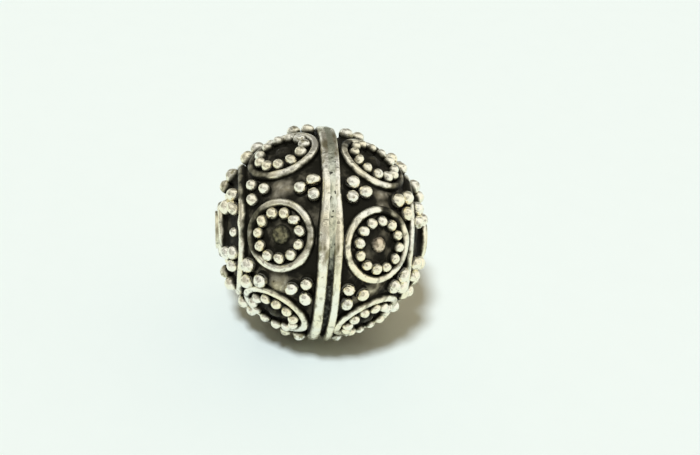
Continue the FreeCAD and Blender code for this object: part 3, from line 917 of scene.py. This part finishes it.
def make_seam_solder(seed):
    """Strip of solder that fills the groove where the seam is closed."""
    _, _, crest = measure_wire("rim_wire_left", -RIGHT_END)
    length = SOLDER_END - SOLDER_START + LOW_RUN
    count = round(length * SHELL / SOLDER_STEP)
    rows = []
    for step in range(count + 1):
        turn = SOLDER_START - LOW_RUN + length * step / count
        depth = 0.05 + 0.36 * (1 - filled(turn)) ** 1.5
        row = []
        for across in range(-6, 7):
            part = across / 6
            place = SOLDER_HALF_WIDTH * part
            height = crest - (depth + 0.06 * part ** 4) * MM
            point = on_band(place, turn, height)
            row.append(point * (1 + 0.045 * MM * waver(point, 1.8, seed) / SHELL))
        row += [on_band(place, turn, 0.1 * MM) for place in (0.2 * MM, -0.2 * MM)]
        rows.append(row)
    mesh = bmesh.new()
    corners = add_rows(mesh, rows)
    for end in (corners[0], corners[-1]):
        add_cap(mesh, end, sum((corner.co for corner in end), Vector()) / len(end))
    finish_piece(mesh, "seam_solder", solder_finish)


make_seam_solder(211)
print("the groove is filled")

# %% [markdown]
# The half shells are domed over a ball and show small dents. Solder that ran beside the
# clusters left low smears on the ground, which the rubbing reached. The outside is a fine
# grid of points whose height adds dents and smears, and the inside is a plain dome, so the
# shell is a closed, hollow piece with a hole for the tube.

# %% Half shells
WALL = 0.5 * MM
SMEAR_WIDTH = 0.36 * MM
SMEAR_HEIGHTS = {"left": 0.15, "right": 0.1}
# Two smears that stand out, beside the clusters of the front, with their heights.
BROAD_SMEARS = ((Vector((-0.45, -0.44, 0.776)), 0.22), (Vector((-0.455, -0.89, -0.03)), 0.38))


def smear_places(half):
    """Directions in which solder ran on the ground, and how high it stands there."""
    rim = [axis for axis, _, _ in measure_balls(f"rim_clusters_{half}")]
    shoulder = [axis for axis, _, _ in measure_balls(f"shoulder_clusters_{half}")]
    places = []
    for tip in shoulder:
        near = min(rim, key=tip.angle)
        places.append(((tip + near * 1.5).normalized(), SMEAR_HEIGHTS[half]))
    if half == "left":
        places += BROAD_SMEARS
    return places


def ground_height(point, places):
    """Height of the ground above the plain dome, with dents and smears."""
    dents = 0.016 * waver(point, 0.9, 3) + 0.01 * waver(point, 2.6, 4)
    smear = 0
    direction = point.normalized()
    for place, top in places:
        away = (direction - place).length * SHELL / SMEAR_WIDTH
        if away < 3:
            smear = max(smear, top * math.exp(-away * away / 2))
    return (dents + smear * (0.85 + 0.4 * waver(point, 1.1, 5))) * MM


def make_half_shell(half):
    """Domed half shell with its dented outside, plain inside and hole for the tube."""
    node = f"half_shell_{half}"
    axes = axis_frame(Vector((HALVES[half], 0, 0)))
    hole_tilt = min(point.angle(axes[0]) for part in loose_parts(node) for point in part)
    places = smear_places(half)
    across, around = 90, 260
    outside = []
    for step in range(across + 1):
        tilt = hole_tilt + (math.pi / 2 - hole_tilt) * step / across
        row = []
        for turn in turns(around):
            point = on_shell(axes, tilt, turn, 0)
            edge = ease(step, 0, 3) * ease(across - step, 0, 3)
            row.append(point * (1 + edge * ground_height(point, places) / SHELL))
        outside.append(row)
    inside = [[point.normalized() * (SHELL - WALL) for point in row] for row in outside[::-6]]
    finish_ring(outside + inside, node, shell_finish)


for half in HALVES:
    make_half_shell(half)
print("both half shells are domed")

# %% [markdown]
# In the middle of each medallion sits a low boss, a blob of solder that was hardly rubbed.
# It is dull, lumpy and a little off centre. Rows of points from the top of the dome to its
# foot, moved by noise, give that without any sculpting.

# %% Bosses
# How far the foot runs out round the dome, as a share of its width.
FOOT_RUN = 0.15


def make_boss(half, place, seed):
    """Low, lumpy dome in the middle of a medallion."""
    node = f"medallion_boss_{half}_{place}"
    points = loose_parts(node)[0]
    _, _, crest = measure_balls(node)[0]
    even, axis, *_ = medallion_place(half, place)
    draw = random.Random(seed)
    axes = axis_frame(axis + Vector([draw.gauss(0, 0.006) for _ in range(3)]))
    spread = max(point.angle(even) for point in points) * SHELL * draw.uniform(0.92, 1.02)
    rows = []
    for step in range(1, 13):
        out = step / 12 * (1 + FOOT_RUN)
        dome = math.sqrt(max(1 - min(out, 1) ** 2, 0))
        row = []
        for turn in turns(32):
            edge = 1 + 0.1 * waver(Vector((math.cos(turn), math.sin(turn), seed)) * MM, 0.9, seed)
            height = crest * dome ** 0.9 - 0.05 * MM * max(out - 1, 0) / FOOT_RUN
            point = on_shell(axes, out * spread * edge / SHELL, turn, height)
            lump = 0.05 * waver(point, 2.4, seed) + 0.03 * waver(point, 5.0, seed + 1)
            row.append(point * (1 + lump * dome * MM / SHELL))
        rows.append(row)
    mesh = bmesh.new()
    corners = add_rows(mesh, rows)
    add_cap(mesh, corners[0], on_shell(axes, 0, 0, crest * 0.98))
    add_cap(mesh, corners[-1], on_shell(axes, 0, 0, -FOOT_DEPTH))
    finish = boss_finishes[half if place == FACING else "black"]
    finish_piece(mesh, node, finish)


seed = 301
for half in HALVES:
    for place in PLACES:
        make_boss(half, place, seed)
        seed += 1
print("bosses:", seed - 301)

# %% [markdown]
# A thin tube lines the bore, so that the cord does not catch on the shells. Its ends stand
# a little proud of the collars and are rounded by wear. Its section is revolved about the
# bore, with a slight waver at both ends where the tube was pressed open.

# %% Core tube
# The lip in section, from the bore outwards and back along the tube, in walls.
LIP = (
    (0.0, 0.35), (0.1, 0.12), (0.35, 0.0), (0.7, 0.0),
    (0.93, 0.1), (1.0, 0.35), (1.0, 1.2), (1.0, 3.0),
)


def make_core_tube():
    """Tube through the bead, with softly rounded ends."""
    points = [point for part in loose_parts("core_tube") for point in part]
    outside = max(math.hypot(point.y, point.z) for point in points)
    inside = min(math.hypot(point.y, point.z) for point in points)
    end = max(point.x for point in points)
    wall = outside - inside
    section = [(end - back * wall, inside + part * wall) for part, back in LIP]
    section += [(-along, radius) for along, radius in reversed(section)]
    rows = []
    for turn in turns(72):
        row = []
        for along, radius in section:
            press = 0.012 * MM * math.sin(3 * turn + 1) * ease(abs(along), end * 0.8, end)
            out = radius + press
            row.append(Vector((along, out * math.cos(turn), out * math.sin(turn))))
        rows.append(row)
    finish_ring(rows, "core_tube", tube_finish)


make_core_tube()
print("the bore is lined")

# %% [markdown]
# The bead rests on white paper. The floor is a plain sheet with faint fibres of noise, and
# the light brings it to about the colour it is written in.

# %% Floor
PAPER = (0.863, 0.936, 0.87), (0.878, 0.951, 0.885)


def make_floor():
    """Sheet of paper under the bead, which is staging and no piece of it."""
    mesh = bmesh.new()
    bmesh.ops.create_grid(mesh, x_segments=8, y_segments=8, size=0.5)
    data = bpy.data.meshes.new("floor")
    mesh.to_mesh(data)
    mesh.free()
    material = bpy.data.materials.new("white_paper")
    material.use_nodes = True
    tree = material.node_tree
    inputs = tree.nodes["Principled BSDF"].inputs
    inputs["Roughness"].default_value = 0.9
    inputs["Specular IOR Level"].default_value = 0.1
    paper = add_mix(tree, add_noise(tree, 400.0, 4.0), *PAPER)
    tree.links.new(paper, inputs["Base Color"])
    data.materials.append(material)
    floor = bpy.data.objects.new("floor", data)
    floor.location.z = cad_low[2]
    scene.collection.objects.link(floor)
    floor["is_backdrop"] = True


make_floor()
print("floor at z in mm:", round(cad_low[2] / MM, 2))

# %% [markdown]
# Polished silver has hardly a colour of its own and shows what stands round it. The white
# paper and a bright ceiling give the wide highlights. The room is darker behind the bead, on
# its left and on the side where the photographer stands, and that gives the grey spot in the
# middle of each granule. A soft lamp, high up in front and slightly to the left, throws the
# shadow to the right and behind.

# %% Lamp and room
# Even light, its shares on the darker and the brighter side, and where the latter lies.
AMBIENT = (0.35, 0.29, 0.21)
AMBIENT_SHARES = (0.1, 1.9)
BRIGHTER_SIDE = Vector((0.5, 0.87, 0.0))
# What the silver reflects of the room, and what the camera sees behind the paper.
DARK_TONE, LIGHT_TONE = (0.06, 0.05, 0.03), (1.0, 1.0, 0.97)
BACKDROP = (0.89, 0.947, 0.897)
# Middle of each darker part of the room, its inner and outer angle, and its strength.
DARK_REGIONS = (
    ((-0.09, -0.83, 0.55), 10, 34, 0.6),
    ((0.1, 0.86, 0.5), 15, 50, 0.75),
    ((-1.0, -0.1, 0.15), 25, 65, 0.6),
)
lamp_data = bpy.data.lights.new("studio_lamp", "SUN")
lamp_data.energy = 2.6
lamp_data.color = (0.92, 0.995, 1.12)
lamp_data.angle = math.radians(10)
lamp = bpy.data.objects.new("studio_lamp", lamp_data)
lamp.rotation_euler = Vector((-0.2, -0.43, 0.88)).to_track_quat("Z", "Y").to_euler()
lamp.visible_glossy = False
scene.collection.objects.link(lamp)


def make_room():
    """World that differs for the camera, for reflections and for the light on dull surfaces."""
    world = bpy.data.worlds.new("room")
    world.use_nodes = True
    tree = world.node_tree
    tree.nodes.clear()
    direction = tree.nodes.new("ShaderNodeTexCoord").outputs["Generated"]
    shade = 1.0
    for middle, inner, outer, strength in DARK_REGIONS:
        region = add_cone(tree, direction, middle, inner, outer)
        lit = add_math(tree, "MULTIPLY_ADD", region, -strength, 1.0)
        shade = add_math(tree, "MULTIPLY", lit, shade)
    seen = tree.nodes.new("ShaderNodeLightPath")
    rays = seen.outputs["Is Glossy Ray"], seen.outputs["Is Transmission Ray"]
    tone = add_mix(tree, shade, DARK_TONE, LIGHT_TONE)
    slope = add_math(tree, "MULTIPLY_ADD", add_facing(tree, direction, BRIGHTER_SIDE), 0.5, 0.5)
    sides = [[share * value for value in AMBIENT] for share in AMBIENT_SHARES]
    ambient = add_mix(tree, slope, *sides)
    softened = add_mix(tree, add_math(tree, "MAXIMUM", *rays), ambient, tone)
    colour = add_mix(tree, seen.outputs["Is Camera Ray"], softened, BACKDROP)
    background = tree.nodes.new("ShaderNodeBackground")
    tree.links.new(colour, background.inputs["Color"])
    output = tree.nodes.new("ShaderNodeOutputWorld")
    tree.links.new(background.outputs["Background"], output.inputs["Surface"])
    scene.world = world


make_room()
scene.view_settings.view_transform = "Standard"
print("the room and its lamp are set")

# %% [markdown]
# The camera looks down at the bead at a good third of a right angle, from slightly left of
# the seam, and is rolled a little. Its three directions are worked out from those angles,
# and a small shift puts the bead where the photograph has it.

# %% Camera
LOOK_DOWN = math.radians(33.6)
FROM_LEFT = math.radians(4.89)
ROLL = math.radians(-2.48)
DISTANCE = 80 * MM
front = Vector((0, -math.cos(LOOK_DOWN), math.sin(LOOK_DOWN)))
above = Vector((0, math.sin(LOOK_DOWN), math.cos(LOOK_DOWN)))
back = front * math.cos(FROM_LEFT) - RIGHT_END * math.sin(FROM_LEFT)
level = RIGHT_END * math.cos(FROM_LEFT) + front * math.sin(FROM_LEFT)
right = level * math.cos(ROLL) - above * math.sin(ROLL)
up = level * math.sin(ROLL) + above * math.cos(ROLL)
camera_data = bpy.data.cameras.new("camera")
camera_data.lens = 62.45
camera_data.shift_x = 0.0402
camera_data.shift_y = 0.00957
camera_data.clip_start = MM
camera = bpy.data.objects.new("camera", camera_data)
turned = Matrix((right, up, back)).transposed().to_4x4()
camera.matrix_world = Matrix.Translation(back * DISTANCE) @ turned
scene.collection.objects.link(camera)
scene.camera = camera
print("camera at", [round(value / MM, 1) for value in camera.location])

# %% [markdown]
# Last, the size of the dressed model is worked out and printed. The dressing must not make
# the bead bigger.

# %% Keep the sizes and finish
visual_low, visual_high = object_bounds()
spans = [high - low for low, high in zip(visual_low, visual_high)]
print("visual size in mm:", [round(span / MM, 2) for span in spans])
